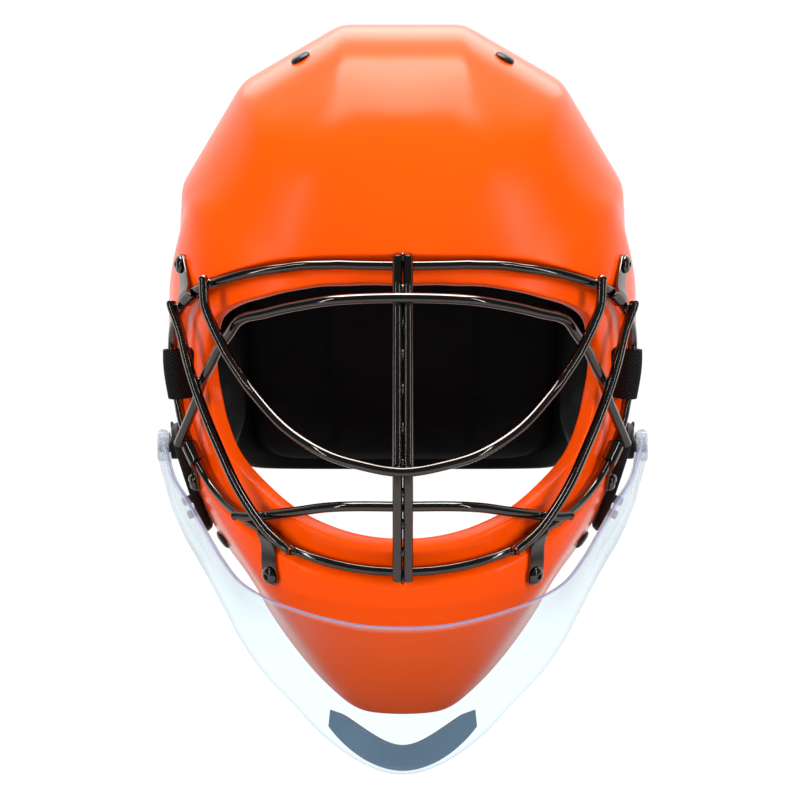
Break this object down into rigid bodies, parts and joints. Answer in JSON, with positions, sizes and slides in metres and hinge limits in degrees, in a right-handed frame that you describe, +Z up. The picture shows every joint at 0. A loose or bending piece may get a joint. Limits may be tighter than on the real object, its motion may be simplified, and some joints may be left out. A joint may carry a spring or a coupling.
{
  "type": "goalkeeper helmet",
  "caption": "Faceted protective mask helmet with a wire face cage, padded inside, a tilting padded back plate and a clear throat guard hung from side pivots.",
  "frame": {"origin": "the middle of the wearer's head, level with the ears, between the two ear openings", "axes": "-Y is the way the wearer looks, +X is the viewer's right in a front view, +Z is up"},
  "size_m": [0.2546, 0.3156, 0.346],
  "materials": {
    "orange_shell": "satin gloss",
    "dark_nickel": "black nickel plate",
    "black_plastic": "moulded, matte",
    "black_rivet": "gloss",
    "foam": "closed cell foam",
    "grey_foam": "closed cell foam",
    "webbing": "woven",
    "clear_sheet": "clear polycarbonate"
  },
  "bodies": {
    "helmet": {"shell": "orange_shell", "brow_pad": "foam", "crown_pad": "foam", "temple_pad_left": "foam", "temple_pad_right": "foam", "ear_pad_left": "foam", "ear_pad_right": "foam", "jaw_pad_left": "foam", "jaw_pad_right": "foam", "cage_ring": "dark_nickel", "brow_bar": "dark_nickel", "u_bar": "dark_nickel", "side_bar_left": "dark_nickel", "side_bar_right": "dark_nickel", "jaw_bar": "dark_nickel", "centre_bar_left": "dark_nickel", "centre_bar_right": "dark_nickel", "upper_clip_left": "dark_nickel", "upper_clip_right": "dark_nickel", "side_clip_left": "dark_nickel", "side_clip_right": "dark_nickel", "lower_clip_left": "dark_nickel", "lower_clip_right": "dark_nickel", "clip_screws": "dark_nickel", "clip_nuts": "dark_nickel", "crown_rivets": "black_rivet", "jaw_rivets": "black_rivet", "crown_strap_left": "webbing", "crown_strap_right": "webbing", "side_strap_left": "webbing", "side_strap_right": "webbing", "slide_left": "black_plastic", "slide_right": "black_plastic", "side_elastic_left": "webbing", "side_elastic_right": "webbing", "mount_plate_left": "black_plastic", "mount_plate_right": "black_plastic", "mount_screws": "dark_nickel", "pivot_pins": "black_rivet", "chin_cup": "black_plastic", "chin_strap_left": "webbing", "chin_strap_right": "webbing"},
    "guard": {"throat_guard": "clear_sheet", "guard_pad": "grey_foam"},
    "back": {"back_plate": "black_plastic", "back_pad": "foam", "plate_rivets": "black_rivet"}
  },
  "joints": [
    {"name": "back_tilt", "type": "hinge", "parent": "helmet", "child": "back", "pos_m": [0, 0.11, 0.097], "axis": [1, 0, 0], "range_deg": [0, 20], "stiffness_Nm_per_rad": 0.5, "springref_deg": -17.19, "deforming": ["crown_strap_left", "crown_strap_right", "side_elastic_left", "side_elastic_right"]},
    {"name": "guard_swing", "type": "hinge", "parent": "helmet", "child": "guard", "pos_m": [0, -0.028, -0.031], "axis": [-1, 0, 0], "range_deg": [0, 20]}
  ]
}
